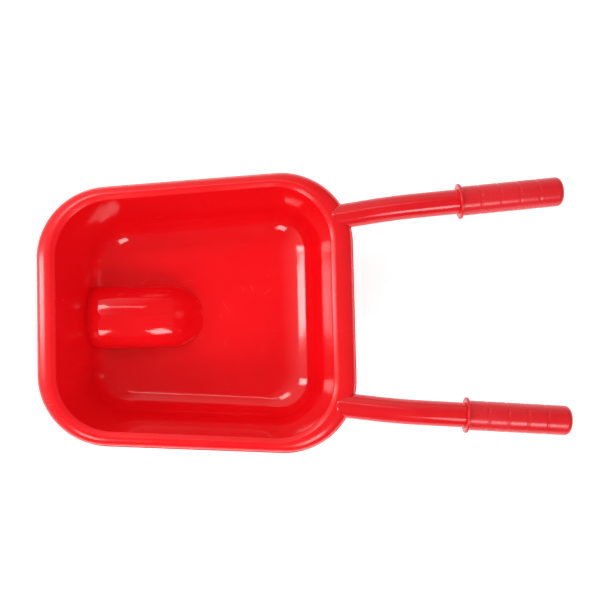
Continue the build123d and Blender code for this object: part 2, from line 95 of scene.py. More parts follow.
# %% [markdown]
# Most of these surfaces are rings joined into a skin, as a boat's frames carry its planking. One helper
# turns a stack of rings into points and faces, and closes it with flat ends, or joins the last ring to the
# first. The others make the mesh, cut one form out of another, and hand the piece to its body.

# %% Helpers for meshes
def skin(rings, wrap=False):
    """(points, faces) over rings of shape (count, around, 3).

    Quads join point i of a ring to point i + 1 and to the same two of the next ring. The ends are closed with
    one flat face each, unless the rings wrap.
    """
    count, around = rings.shape[:2]
    ring = np.arange(count if wrap else count - 1)[:, None]
    here = np.arange(around)[None, :]
    after, above = (here + 1) % around, (ring + 1) % count
    quads = [ring * around + here, ring * around + after, above * around + after, above * around + here]
    faces = np.stack(quads, axis=-1).reshape(-1, 4).tolist()
    if not wrap:
        faces += [list(range(around)), list(range((count - 1) * around, count * around))]
    return rings.reshape(-1, 3), faces


def make_object(name, *skins):
    """One object from several closed skins, with every skin's normals worked out afresh to face outwards."""
    starts = np.cumsum([0] + [len(points) for points, _ in skins])
    faces = [[start + i for i in face] for start, (_, part) in zip(starts.tolist(), skins) for face in part]
    mesh = bpy.data.meshes.new(name)
    mesh.from_pydata(np.vstack([points for points, _ in skins]).tolist(), [], faces)
    shell = bmesh.new()
    shell.from_mesh(mesh)
    bmesh.ops.recalc_face_normals(shell, faces=shell.faces)
    shell.to_mesh(mesh)
    shell.free()
    made = bpy.data.objects.new(name, mesh)
    bpy.context.scene.collection.objects.link(made)
    return made


def carve(target, tool, operation):
    """Applies one exact boolean to the target's mesh, then removes the tool."""
    step = target.modifiers.new("carve", "BOOLEAN")
    step.operation = operation
    step.solver = "EXACT"
    step.object = tool
    bpy.context.view_layer.update()
    result = target.evaluated_get(bpy.context.evaluated_depsgraph_get())
    shaped = bpy.data.meshes.new_from_object(result)
    target.modifiers.remove(step)
    target.data = shaped
    bpy.data.objects.remove(tool)


def smooth(piece, degrees=32):
    """Smooth shading that breaks where two faces meet at more than the given angle."""
    piece.data.shade_smooth()
    piece.data.set_sharp_from_angle(angle=np.radians(degrees))


def hand_over(piece, body, slot, *stands_for):
    """The piece rides on its body and stands for the given nodes, which are hidden. The slot is not used."""
    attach(piece, body)
    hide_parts(*stands_for)
    print(piece.name, "has", sum(len(face.vertices) - 2 for face in piece.data.polygons), "triangles")


def bow(steps, start=0.0, stop=90.0):
    """Angles in radians, evenly spaced from start to stop degrees."""
    return np.radians(np.linspace(start, stop, steps))


print("a ring of 4 points closes with", len(skin(np.zeros((2, 4, 3)))[1]), "faces")

# %% [markdown]
# ## The tray's outline
#
# Seen from above the tray is a trapezium with four rounded corners, a little narrower at the wheel's end.
# Every level of the tray is the same outline drawn further in, so one function draws them all at once. The
# straight runs need few points because nothing bends along them, and the corners get the rest.

# %% One outline for every level
flare = (rim_rear_width - rim_front_width) / 2 / rim_length
straight_points, corner_points = 10, 44


def outlines(insets, radius):
    """Rounded trapeziums, one per row of insets: four corners joined by lines, and each corner made an arc.

    An arc starts one tangent length, radius times tan(turn / 2), before its corner and turns about a centre
    that lies the radius to the left of that point.
    """
    front, rear, side = (insets * [1, 1, np.sqrt(1 + flare**2)]).T[..., None]
    low_x, high_x = tray_x - rim_length / 2 + front, tray_x + rim_length / 2 - rear
    low_y, high_y = rim_front_width / 2 + front * flare - side, rim_rear_width / 2 - rear * flare - side
    corners_x = np.hstack([low_x, high_x, high_x, low_x])
    corners_y = np.hstack([-low_y, -high_y, high_y, low_y])
    corners = np.stack([corners_x, corners_y], -1)
    arrive = corners - np.roll(corners, 1, axis=1)
    arrive /= np.linalg.norm(arrive, axis=-1, keepdims=True)
    turn = np.arccos((arrive * np.roll(arrive, -1, axis=1)).sum(-1))
    left = np.stack([-arrive[..., 1], arrive[..., 0]], axis=-1)
    radius = np.asarray(radius)[:, None]
    centre = corners - arrive * (radius * np.tan(turn / 2))[..., None] + left * radius[..., None]
    first = np.arctan2(-left[..., 1], -left[..., 0])[..., None]
    angle = first + turn[..., None] * np.linspace(0, 1, corner_points)
    arc = centre[..., None, :] + radius[..., None, None] * np.stack([np.cos(angle), np.sin(angle)], axis=-1)
    share = np.linspace(0, 1, straight_points + 2)[1:-1, None]
    line = arc[:, :, -1:] + (np.roll(arc[:, :, :1], -1, axis=1) - arc[:, :, -1:]) * share
    return np.concatenate([arc, line], axis=2).reshape(len(insets), -1, 2)


def rings_from(insets, radius, height):
    """Outlines at the given insets, each lifted to its own height."""
    plan = outlines(insets, radius)
    level = np.broadcast_to(np.asarray(height)[:, None, None], plan.shape[:2] + (1,))
    return np.concatenate([plan, level], axis=2)


print("an outline has", 4 * (straight_points + corner_points), "points")

# %% [markdown]
# ## The tray's section
#
# Cut the tray anywhere and the section is the same: floor, generous fillet, leaning wall, rounded mouth,
# rolled rim, skirt, a small lip at its foot, then back up inside the rim and down the wall's other face. The
# tub is drawn for an upright wall first, and leaning the wall is then a shear: each point moves inwards by
# the wall's lean times its share of the depth. A shear keeps the wall straight and lets the fillet run into it
# without a corner. The fillet is then drawn out sideways by its run, which makes it a longer sweep at the front
# and the rear. The rim rolls over as a quarter of an ellipse, as wide as the rim is on that side.

# %% The tub, inside and outside
def tub_profile(grow):
    """(inset from the mouth, height) down the wall and round the floor fillet, on the face grown by grow."""
    reach, turn = floor_fillet + grow, bow(26)
    arc = np.stack([-grow + reach * (1 - np.cos(turn)), floor_z - grow + reach * (1 - np.sin(turn))], axis=1)
    upright = np.stack([np.full(8, -grow), np.linspace(rim_z - rim_mouth, arc[0, 1], 8)], axis=1)
    return np.vstack([upright[:-1], arc])


def tub_rings(profile, grow=0.0):
    """Rings of the leaning tub.

    The inset grows by the lean times the share of the depth. Round the fillet it also grows by the run less
    one, times the profile's own inset.
    """
    share = (rim_z - profile[:, 1:]) / (rim_z - floor_z)
    mouth_corner = rim_corner - rim_widths[2]
    corner = mouth_corner + (floor_corner - mouth_corner) * np.clip(share, 0, 1)
    sweep = np.clip(profile[:, :1] + grow, 0, None) * (fillet_runs - 1)
    insets = rim_widths + profile[:, :1] + sweep + wall_leans * share
    return rings_from(insets, (corner - profile[:, :1])[:, 0], profile[:, 1])


# %% The rounded mouth
def mouth_profile(small=0.002, large=0.004, slope=30.0):
    """(inset, height) from the wall over a small round, up a slope and over a larger round to the crest.

    Each round covers r sin(turn) one way and r (1 - cos(turn)) the other, and the slope takes what is left.
    """
    first, second = bow(8, 0, 90 - slope), bow(8, slope, 0)
    edge = np.stack([small * (1 - np.cos(first)), small * np.sin(first)], axis=1)
    crest = np.stack([-large * np.sin(second), -large * (1 - np.cos(second))], axis=1) + [rim_mouth, 0]
    rise = (crest[0, 0] - edge[-1, 0]) * np.tan(np.radians(slope))
    edge[:, 1] += crest[0, 1] - rise - edge[-1, 1]
    return np.vstack([edge, crest]) * [-1, 1] + [0, rim_z]


mouth = mouth_profile()[::-1]
print("the mouth begins", round(float(rim_z - mouth[-1, 1]), 4), "below the crest")
inner_face = tub_rings(np.vstack([mouth, tub_profile(0.0)]))
outer_profile = tub_profile(wall)
outer_profile[0, 1] = rim_z - wall
outer_face = tub_rings(outer_profile, wall)
print("tub faces have", len(inner_face), "and", len(outer_face), "rings")


# %% The rim, its lip and the hollow under it
def rim_rings(outer_inset, grow, stop=90.0, steps=22):
    """Rings over the roll, from the skirt towards the crest, on the face grown outwards by grow.

    Inset = crest - across cos(t) and height = rim_z - roll (1 - sin t), with the same two half axes grown.
    """
    turn = bow(steps, 0, stop)[:, None]
    across = rim_widths - rim_mouth - outer_inset
    insets = outer_inset + across - (across + grow) * np.cos(turn)
    height = rim_z - rim_roll + (rim_roll + grow) * np.sin(turn[:, 0])
    return rings_from(insets, rim_corner - insets[:, 2], height)


def flat_rings(insets, heights):
    """Rings that are inset by the same amount on every side."""
    insets = np.asarray(insets)
    return rings_from(np.repeat(insets[:, None], 3, axis=1), rim_corner - insets, heights)


lip_round = np.array([1.0, 0.3, 0.0, 0.0, 0.3, 1.0]) * 0.0008
lip_share = np.array([1.0, 0.88, 0.68, 0.32, 0.12, 0.0])
lip = flat_rings(np.append(lip_width, lip_round), skirt_z + np.append(1.0, lip_share) * lip_thickness)
inside, skirt_step = lip_width + wall, 0.004
under_skirt = flat_rings([inside] * 2, [skirt_z, skirt_z + skirt_step])
under_rim = np.concatenate([under_skirt, rim_rings(lip_width, -wall, 84, 12)])
tray_rings = np.concatenate([inner_face[::-1], rim_rings(lip_width, 0.0)[::-1], lip, under_rim, outer_face])
print("tray section has", len(tray_rings), "rings")

# %% [markdown]
# ## The hump over the wheel
#
# The wheel reaches up through the floor, so the mould has a hump there: a long block with leaning sides and a
# crown that is round from side to side. Its surface is rings again, drawn up its sides and over the crown to a
# thin ridge. Drawn twice, the second time smaller by the wall, it gives the hump and the wheel well inside it.
# The rings have no points along their straight sides, so between its rounded ends the hump's top runs straight
# and lies below the arch that the wheel asks for.

# %% The hump, outside and inside
housing_width, housing_front, housing_rear = 0.085, 0.068, 0.1010
housing_lean, housing_shoulder = np.tan(np.radians(6.0)), 0.026
wheel_clearance = 0.014
arch_radius = wheel_radius + wheel_clearance + wall
side_steps, crown_steps, ridge = 14, 40, 0.0004
front_round, rear_round, least_round = 0.86, 0.98, 0.0002
hump_root, well_root = 0.012, 0.020


def capsules(front, rear, half, front_radius, rear_radius, steps=26):
    """Rounded rectangles, one per entry, with one corner radius at the front and another at the rear."""
    loops = []
    for along, across, first in ((-1, -1, 180), (1, -1, 270), (1, 1, 0), (-1, 1, 90)):
        radius, edge = (front_radius, front) if along < 0 else (rear_radius, rear)
        angle = bow(steps, first, first + 90)
        x = (edge - along * radius)[:, None] + radius[:, None] * np.cos(angle)
        y = (across * (half - radius))[:, None] + radius[:, None] * np.sin(angle)
        loops.append(np.stack([x, y], axis=-1))
    return np.concatenate(loops, axis=1)


def hump_rings(shrink, foot_z):
    """Rings up the leaning side and over the crown to the ridge, on the face taken in by shrink.

    The crown is a quarter ellipse: inwards by half (1 - cos t) while it rises by the shoulder times sin t. Its
    points on the rounded ends lie on the arch, sqrt(R^2 - x^2) above the axle, and it flattens where the arch
    comes down to the floor. The side leans out by its fall times the tangent of the draft.
    """
    shoulder, reach = housing_shoulder - shrink, arch_radius - shrink
    narrowing = (axle[2] + reach - shoulder - floor_z) * housing_lean + shrink
    half = housing_width / 2 - narrowing
    front, rear = axle[0] - housing_front + narrowing, axle[0] + housing_rear - narrowing
    turn = bow(crown_steps)[1:]
    inward = np.concatenate([np.zeros(side_steps), (half - ridge) * (1 - np.cos(turn))])
    rise = np.concatenate([np.zeros(side_steps), shoulder * np.sin(turn)])
    fall_share = np.concatenate([np.linspace(1, 0, side_steps), np.zeros(crown_steps - 1)])[:, None]
    rounds = (half * front_round, half * rear_round)
    front_radius, rear_radius = [np.clip(r - inward, least_round, None) for r in rounds]
    plan = capsules(front + inward, rear - inward, half - inward, front_radius, rear_radius)
    arch = axle[2] + np.sqrt(reach**2 - (plan[..., 0] - axle[0])**2)
    top = arch + (rise[:, None] - shoulder) * np.clip((arch - floor_z) / shoulder, 0, 1)
    fall = np.clip(top - foot_z, 0, None) * fall_share
    outward = plan - np.clip(plan, [front + half, 0], [rear - half, 0])
    outward /= np.linalg.norm(outward, axis=-1, keepdims=True)
    leaning = plan + outward * (fall * housing_lean)[..., None]
    return np.concatenate([leaning, (top - fall)[..., None]], axis=-1)


hump, well = hump_rings(0.0, floor_z - hump_root), hump_rings(wall, floor_z - well_root)
highest = [round(float(rings[..., 2].max()), 4) for rings in (hump, well)]
print("highest points of the hump and of the well:", *highest)

# %% [markdown]
# ## Joining the tray
#
# The tub is one closed skin with thickness, so booleans can add and cut as a toolmaker does. The hump is
# first kept to the tub's own walls, so that nothing of it shows in front, and then joined to them. The well is
# cut out of it from below, with a slot in front where the wheel comes through the sloping wall.

# %% Tray with hump, well and outlet
def block(low, high):
    """A closed box between two corners, as a skin."""
    x, y = [low[0], high[0], high[0], low[0]], [low[1], low[1], high[1], high[1]]
    return skin(np.array([np.stack([x, y, [z] * 4], axis=1) for z in (low[2], high[2])]))


outlet_half, outlet_clearance = 0.027, 0.004
outlet_reach = 0.056
outlet_z = axle[2] + np.sqrt(wheel_radius**2 - outlet_reach**2) + outlet_clearance
outlet_front, outlet_rear = axle[0] - 0.15, axle[0] - 0.030

tray = make_object("moulded_tray", skin(tray_rings))
hump_block = make_object("hump", skin(hump))
tub_block = skin(tub_rings(tub_profile(wall / 2), wall / 2))
carve(hump_block, make_object("tub_block", tub_block), "INTERSECT")
carve(tray, hump_block, "UNION")
carve(tray, make_object("well", skin(well)), "DIFFERENCE")
outlet = block((outlet_front, -outlet_half, axle[2]), (outlet_rear, outlet_half, outlet_z))
carve(tray, make_object("outlet", outlet), "DIFFERENCE")
print("tray has", len(tray.data.polygons), "faces after the cuts")

# %% [markdown]
# Under the tray are hollow pads for the fork and the legs, a boss round every screw, and thin ribs that
# stiffen the rim from inside. They are straight walls that run into the tray, as the mould makes them, so each
# one is a tube or a block of its own in the same mesh.

# %% Pads, bosses and ribs
pad_height, pad_wall, boss_radius, screw_radius = 0.008, 0.003, 0.0055, 0.002
pad_z = floor_z - wall - pad_height


def tube(centre, outer, inner, low_z, high_z):
    """An upright tube with rounded rectangles (length, width, radius) for its outside and its bore."""
    loops = []
    for (length, width, radius), z in ((outer, low_z), (outer, high_z), (inner, high_z), (inner, low_z)):
        flat = [np.array([v]) for v in (-length / 2, length / 2, width / 2, radius, radius)]
        plan = capsules(*flat, steps=8)[0] + centre
        loops.append(np.concatenate([plan, np.full((len(plan), 1), z)], axis=1))
    return skin(np.array(loops), wrap=True)


def boss(centre, low_z, high_z):
    """A round boss with its screw's hole."""
    outer = (2 * boss_radius, 2 * boss_radius, boss_radius)
    return tube(centre, outer, (2 * screw_radius, 2 * screw_radius, screw_radius), low_z, high_z)


def pad(centre, length, width):
    """A hollow pad under the floor."""
    hole = (length - 2 * pad_wall, width - 2 * pad_wall, pad_wall / 2)
    return tube(centre, (length, width, pad_wall), hole, pad_z, floor_z - wall / 2)


fork_low, fork_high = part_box("fork_right")
leg_low, leg_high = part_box("leg_right")
screws_low, screws_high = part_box("handle_screws")
fork_length, fork_width, leg_length, leg_width, screw_inset = 0.058, 0.026, 0.076, 0.034, 0.008
handle_inset, nose_drop, fork_screw_offset = 0.06265, 0.0134, 0.004
fork_pad = np.array([fork_high.x - fork_length / 2, fork_low.y + fork_width / 2])
leg_pad = np.array([leg_low.x + leg_length / 2, leg_low.y + leg_width / 2])
nose_x = (screws_low.x + screws_high.x) / 2
nose = np.array([nose_x, rim_rear_width / 2 - handle_inset, rim_z - nose_drop])
screw_turn, screw_step = np.radians(22.0), 0.007
handle_bosses = nose[:2] + np.outer([-1, 1], [-np.sin(screw_turn), np.cos(screw_turn)]) * screw_step
fork_bosses = fork_pad + np.outer([-1, 1], [fork_length / 2 - screw_inset, 0]) + [0, fork_screw_offset]
leg_bosses = leg_pad + np.outer([-1, 1], [leg_length / 2 - screw_inset, 0])

skins = []
for flip in ([1, 1], [1, -1]):
    skins += [pad(fork_pad * flip, fork_length, fork_width), pad(leg_pad * flip, leg_length, leg_width)]
    skins += [boss(place * flip, pad_z, floor_z - wall / 2) for place in (*fork_bosses, *leg_bosses)]
    skins += [boss(place * flip, skirt_z, rim_z - wall) for place in handle_bosses]
print("pads and bosses:", len(skins))


# %% Ribs inside the rim
rib, rib_low, rib_high, rib_inset = 0.002, skirt_z + lip_thickness, rim_z - 0.0075, 0.0035
for x in tray_x + np.array([-0.110, 0.0, 0.110]):
    edge = rim_front_width / 2 + (x - tray_x + rim_length / 2) * flare
    near, far = edge - rim_widths[2], edge - rib_inset
    skins += [block((x - rib / 2, low, rib_low), (x + rib / 2, high, rib_high)) for low, high in
              ((near, far), (-far, -near))]
for y in (-0.078, 0.0, 0.078):
    for low, high in ((rib_inset, rim_widths[0]), (rim_length - rim_widths[1], rim_length - rib_inset)):
        start = tray_x - rim_length / 2
        skins.append(block((start + low, y - rib / 2, rib_low), (start + high, y + rib / 2, rib_high)))

ribs = make_object("pads_and_ribs", *skins)
bpy.context.view_layer.objects.active = tray
with bpy.context.temp_override(active_object=tray, selected_editable_objects=[tray, ribs]):
    bpy.ops.object.join()
smooth(tray)
hand_over(tray, "barrow", "red_plastic", "tray")

# %% [markdown]
# ## Handles
#
# Each handle is one tube: a straight neck that climbs and leans outwards, a long gentle bend, and a straight
# shaft under the grip. Its nose is a ball, cut to the shape of the rim that it lies over, with a lug below
# for two screws. A tube is a circle carried along a line, so only the line needs a formula.

# %% The handle's line
handle_radius, neck_length, shaft_length, bend_radius = 0.015, 0.069, 0.207, 0.700
grip_end_wall, grip_length = 0.004, 0.1265


def heading(yaw, pitch):
    """The unit vector that leans out by yaw and climbs by pitch, in degrees, from +X."""
    yaw, pitch = np.radians([yaw, pitch])
    return np.array([np.cos(pitch) * np.cos(yaw), np.cos(pitch) * np.sin(yaw), np.sin(pitch)])


neck, shaft = heading(7.8, 6.8), heading(4.5, 3.6)
bend = nose + neck * neck_length
handle_end = bend + shaft * shaft_length
tube_end = handle_end - shaft * grip_end_wall


def bent_line(steps=14):
    """Points and directions from the nose, round an arc tangent to both runs, to the tube's end.

    The arc's direction turns evenly from the neck's to the shaft's, and the arc starts R tan(turn / 2) before
    the bend, so its points are the start plus R (sin a * neck + (1 - cos a) * side).
    """
    turn = np.arccos(neck @ shaft)
    side = shaft - neck * (neck @ shaft)
    side /= np.linalg.norm(side)
    angle = np.linspace(0, turn, steps)[:, None]
    start = bend - neck * bend_radius * np.tan(turn / 2)
    arc = start + bend_radius * (np.sin(angle) * neck + (1 - np.cos(angle)) * side)
    along = np.cos(angle) * neck + np.sin(angle) * side
    return np.vstack([nose, arc, tube_end]), np.vstack([neck, along, shaft])


def circles(centres, directions, radii, around=72):
    """Circles of the given radii about the centres, square to the directions, first point sideways."""
    side = np.cross(directions, [0, 0, 1])
    side /= np.linalg.norm(side, axis=1, keepdims=True)
    up = np.cross(side, directions)
    angle = np.linspace(0, 2 * np.pi, around, endpoint=False)[None, :, None]
    spoke = np.cos(angle) * side[:, None] + np.sin(angle) * up[:, None]
    return centres[:, None] + spoke * np.reshape(radii, (-1, 1, 1))


line, along = bent_line()
ball = bow(18, 88, 0)[:-1]
centres = np.vstack([nose - np.outer(np.sin(ball), neck) * handle_radius, line])
directions = np.vstack([np.tile(neck, (len(ball), 1)), along])
radii = np.append(np.cos(ball), np.ones(len(line))) * handle_radius
handle_rings = circles(centres, directions, radii)
print("the bend turns", round(float(np.degrees(np.arccos(neck @ shaft))), 2), "degrees")


# %% Two handles
lug_length, lug_width, lug_thickness, lug_end = 0.034, 0.026, 0.010, 0.009
play, head_radius, counterbore = 0.00015, 0.00415, 0.004
lug_sink, hole_start = 0.004, skirt_z - 0.02


def lug_rings():
    """A rounded plate under the nose, turned with the neck."""
    half, corner = lug_width / 2, lug_width / 4
    flat = [np.array([v]) for v in (-lug_end, lug_length - lug_end, half, corner, corner)]
    plan = capsules(*flat, steps=10)[0]
    level = neck[:2] / np.linalg.norm(neck[:2])
    turned = nose[:2] + plan[:, :1] * level + plan[:, 1:] * np.array([-level[1], level[0]])
    levels = (skirt_z - lug_thickness, skirt_z + lug_sink)
    return np.array([np.concatenate([turned, np.full((len(turned), 1), z)], axis=1) for z in levels])


def rod(centre, radius, low_z, high_z):
    """A short upright cylinder."""
    ends = np.array([[*centre, low_z], [*centre, high_z]])
    angle = np.linspace(0, 2 * np.pi, 40, endpoint=False)
    ring = np.stack([np.cos(angle), np.sin(angle), np.zeros(40)], axis=1) * radius
    return skin(ends[:, None] + ring)


rim_block = np.concatenate([
    flat_rings([lip_width - play] * 2, [skirt_z, rim_z - rim_roll]),
    rim_rings(lip_width, play)[1:],
])
lip_block = flat_rings([-play] * 2, [skirt_z - 0.001, skirt_z + lip_thickness + play])
hole_end = skirt_z - lug_thickness + counterbore
holes = [rod(place, head_radius, hole_start, hole_end) for place in handle_bosses]

for side_name, flip in (("right", 1), ("left", -1)):
    mirror = np.array([1, flip, 1])
    handle = make_object("tube_handle_" + side_name, skin(handle_rings * mirror))
    carve(handle, make_object("lug", skin(lug_rings() * mirror)), "UNION")
    carve(handle, make_object("rim_block", skin(rim_block)), "DIFFERENCE")
    carve(handle, make_object("lip_block", skin(lip_block)), "DIFFERENCE")
    carve(handle, make_object("holes", *[(points * mirror, faces) for points, faces in holes]), "DIFFERENCE")
    smooth(handle)
    hand_over(handle, "barrow", "red_plastic", "handle_" + side_name)

# %% [markdown]
# ## Grips
#
# A grip is a sleeve pushed over the tube's end: a collar that stops the hand, a long barrel with four shallow
# rings, and a rounded end. Anything turned on a lathe is one profile carried round a line, so it is drawn as
# radius against distance along the shaft and uses the same circles as the tube.

# %% Two grips
grip_radius, grip_end_radius, grip_segments = 0.0178, 0.007, 5
groove_depth, groove_width = 0.0003, 0.005
collar_radius, collar_thickness, collar_round = 0.0215, 0.0036, 0.0016
pole = 0.0003


def grip_profile():
    """(along, radius): over the collar's rounded edges, along the barrel, round its end and in to the middle.

    Each ring is a raised cosine, groove_depth deep, centred half a width past its share of the length.
    """
    turn = bow(8)
    lift, back = collar_round * np.sin(turn), collar_round * (1 - np.cos(turn))
    inner = collar_radius - collar_round
    collar = np.concatenate([
        [[0.0, pole], [0.0, handle_radius]],
        np.stack([back, inner + lift], axis=1),
        np.stack([collar_thickness - back[::-1], inner + lift[::-1]], axis=1),
    ])
    distance = np.linspace(collar_thickness, grip_length - grip_end_radius, 260)
    centre = np.arange(1, grip_segments)[:, None] * grip_length / (grip_segments + 0.4) + groove_width / 2
    reach = np.clip(np.abs(distance - centre) / (groove_width / 2), 0, 1)
    barrel = grip_radius - groove_depth * ((1 + np.cos(np.pi * reach)) / 2).sum(0)
    turn = bow(14)[1:]
    end = np.stack([grip_length - grip_end_radius * (1 - np.sin(turn)),
                    grip_radius - grip_end_radius * (1 - np.cos(turn))], axis=1)
    return np.concatenate([collar, np.stack([distance, barrel], axis=1), end, [[grip_length, pole]]])


profile = grip_profile()
centres = handle_end - shaft * grip_length + profile[:, :1] * shaft
grip_rings = circles(centres, np.tile(shaft, (len(profile), 1)), profile[:, 1], around=96)
for side_name, flip in (("right", 1), ("left", -1)):
    grip = make_object("sleeve_grip_" + side_name, skin(grip_rings * [1, flip, 1]))
    smooth(grip)
    hand_over(grip, "barrow", "red_grip", "grip_" + side_name)

# %% [markdown]
# ## Tyre
#
# The tyre is one section carried round the axle, with a block tread on each shoulder. A groove only lowers
# the surface to its own depth, so the radius is the smaller of the section's own and the groove's floor. The
# steps round the wheel are bunched at the edges of the grooves, which keeps the blocks crisp with few faces.

# %% Tyre with its tread
wheel_width, tyre_depth, tyre_seat, flange_height, shoulder = 0.046, 0.017, 0.040, 0.005, 0.007
tread_depth, tread_gap, tread_count = 0.003, 0.005, 30
groove_slope, middle_band, band_slope = 0.014, 0.0046, 0.0006
half_width, seat_radius = wheel_width / 2, wheel_radius - tyre_depth


def tyre_section():
    """(across, radius) once round the section: seat, flange steps, sides, rounded shoulders and tread."""
    turn, flange = bow(12), seat_radius + flange_height
    side = [[tyre_seat / 2, seat_radius], [tyre_seat / 2, flange], [half_width, flange]]
    arc_across = half_width - shoulder * (1 - np.cos(turn))
    arc = np.stack([arc_across, wheel_radius - shoulder * (1 - np.sin(turn))], axis=1)
    tread = np.array([0.015, 0.012, 0.009, 0.007, 0.0056, 0.0052, 0.0048, 0.0044, 0.002])
    half = np.concatenate([side, arc, np.stack([tread, np.full(len(tread), wheel_radius)], axis=1)])
    return np.concatenate([half, half[::-1] * [-1, 1]])


bunch = np.array([-0.17, -0.136, -0.129, -0.122, -0.115, -0.05, 0.05, 0.115, 0.122, 0.129, 0.136, 0.17])
share = np.concatenate([bunch, bunch + 0.5])
around = (np.arange(tread_count)[:, None] + share).ravel() / tread_count
across, radius = tyre_section()[None].transpose(2, 0, 1)
half_gap = tread_gap / (2 * np.pi * wheel_radius / tread_count) / 2
phase = around[:, None] * tread_count + np.where(across > 0, 0.0, 0.5)
edge = np.abs((phase + 0.5) % 1 - 0.5)
groove = np.clip((half_gap - edge) / groove_slope + 0.5, 0, 1)
groove = groove * np.clip((np.abs(across) - middle_band) / band_slope, 0, 1)
radius = np.minimum(radius, wheel_radius - tread_depth * groove)
angle = 2 * np.pi * around[:, None]
sideways = np.broadcast_to(across, radius.shape)
tyre_rings = axle + np.stack([radius * np.cos(angle), sideways, radius * np.sin(angle)], -1)
tyre = make_object("tyre_with_tread", skin(tyre_rings, wrap=True))
smooth(tyre, 28)
hand_over(tyre, "wheel", "tyre_rubber", "tyre")

# %% [markdown]
# ## Finishes
#
# Injection-moulded plastic copies a polished mould, so it is glossy, yet it is never a perfect mirror: it
# sinks and swells a little as it cools, its skin has a faint orange peel, and play leaves fine scuffs. So one
# recipe serves all the plastics. Large slow noise drifts the colour, stretched noise draws the scuffs and
# roughens them, and two sizes of bump make the reflections waver. Patterns read Object coordinates, which hold
# still while the wheel turns.

# %% Helpers for node materials
def start_material(name, **sockets):
    """A new material, its node tree, its shader with plain values set, and its object coordinates."""
    material = bpy.data.materials.new(name)
    material.use_nodes = True
    tree = material.node_tree
    shader = tree.nodes["Principled BSDF"]
    for socket, value in sockets.items():
        shader.inputs[socket.replace("_", " ")].default_value = value
    return material, tree, shader, tree.nodes.new("ShaderNodeTexCoord").outputs["Object"]


def noise(tree, place, scale, detail=2.0, stretch=(1, 1, 1), turn=(0, 0, 0)):
    """Noise between 0 and 1 at so many cells a metre, drawn out along axes turned by some degrees."""
    mapping = tree.nodes.new("ShaderNodeMapping")
    mapping.vector_type = "TEXTURE"
    mapping.inputs["Scale"].default_value = stretch
    mapping.inputs["Rotation"].default_value = np.radians(turn)
    tree.links.new(place, mapping.inputs["Vector"])
    texture = tree.nodes.new("ShaderNodeTexNoise")
    texture.inputs["Scale"].default_value = scale
    texture.inputs["Detail"].default_value = detail
    tree.links.new(mapping.outputs["Vector"], texture.inputs["Vector"])
    return texture.outputs["Fac"]


def ramp(tree, value, low, high, at_low=0.0, at_high=1.0):
    """Maps the span from low to high onto at_low to at_high, and holds it there beyond both ends."""
    node = tree.nodes.new("ShaderNodeMapRange")
    for socket, number in zip(("From Min", "From Max", "To Min", "To Max"), (low, high, at_low, at_high)):
        node.inputs[socket].default_value = number
    tree.links.new(value, node.inputs["Value"])
    return node.outputs["Result"]


def times(tree, first, second, operation="MULTIPLY"):
    """The product of two values, or another operation on them if one is named."""
    node = tree.nodes.new("ShaderNodeMath")
    node.operation = operation
    for socket, value in zip(node.inputs, (first, second)):
        if isinstance(value, float):
            socket.default_value = value
        else:
            tree.links.new(value, socket)
    return node.outputs["Value"]


def blend_colours(tree, share, first, second):
    """A colour that goes from first to second as share goes from 0 to 1."""
    node = tree.nodes.new("ShaderNodeMix")
    node.data_type = "RGBA"
    tree.links.new(share, node.inputs["Factor"])
    for socket, colour in ((node.inputs[6], first), (node.inputs[7], second)):
        if isinstance(colour, tuple):
            socket.default_value = (*colour, 1.0)
        else:
            tree.links.new(colour, socket)
    return node.outputs[2]


def bump(tree, height, strength, distance, under=None):
    """A bump of the given height in metres, on top of another bump if there is one."""
    node = tree.nodes.new("ShaderNodeBump")
    node.inputs["Strength"].default_value = strength
    node.inputs["Distance"].default_value = distance
    tree.links.new(height, node.inputs["Height"])
    if under is not None:
        tree.links.new(under, node.inputs["Normal"])
    return node.outputs["Normal"]


def scuffs(tree, place, amount):
    """Fine scratches: noise drawn out in three directions, kept where it peaks and a slow noise allows."""
    masks = []
    for turn, scale in ((35.0, 9.0), (-62.0, 11.0), (12.0, 7.0)):
        lines = ramp(tree, noise(tree, place, 20 * scale, 3.0, (6.0, 0.25, 0.6), (0, 0, turn)), 0.68, 0.72)
        patch = ramp(tree, noise(tree, place, 14.0 + scale, 1.0, turn=(0, 0, turn)), 0.56, 0.68)
        masks.append(times(tree, lines, patch))
    joined = times(tree, times(tree, masks[0], masks[1], "MAXIMUM"), masks[2], "MAXIMUM")
    return times(tree, joined, amount)


def plastic(name, colour, deeper, scuffed, gloss, worn=0.0, **sockets):
    """Moulded plastic: two tones that drift, a roughness span, scuffs, sink waves and orange peel.

    Hands and sand wear the tray's rim, so its roughness can grow by worn over the last centimetre of height.
    """
    material, tree, shader, place = start_material(name, IOR=1.49, **sockets)
    drift = ramp(tree, noise(tree, place, 9.0, 3.0), 0.35, 0.65)
    marks = scuffs(tree, place, scuffed)
    tone = blend_colours(tree, drift, deeper, colour)
    pale = tuple(min(1.0, channel + 0.07) for channel in colour)
    tree.links.new(blend_colours(tree, marks, tone, pale), shader.inputs["Base Color"])
    rough = ramp(tree, noise(tree, place, 40.0, 4.0), 0.3, 0.7, *gloss)
    height = tree.nodes.new("ShaderNodeSeparateXYZ")
    tree.links.new(place, height.inputs[0])
    rim_wear = ramp(tree, height.outputs["Z"], rim_z - rim_roll, rim_z - rim_roll / 4, 0.0, worn)
    rough = times(tree, rough, rim_wear, "ADD")
    tree.links.new(times(tree, rough, times(tree, marks, 0.35), "ADD"), shader.inputs["Roughness"])
    waves = bump(tree, noise(tree, place, 16.0, 1.0), 0.07, 0.0012)
    peel = bump(tree, noise(tree, place, 700.0, 2.0), 0.08, 0.00006, waves)
    tree.links.new(peel, shader.inputs["Normal"])
    return material


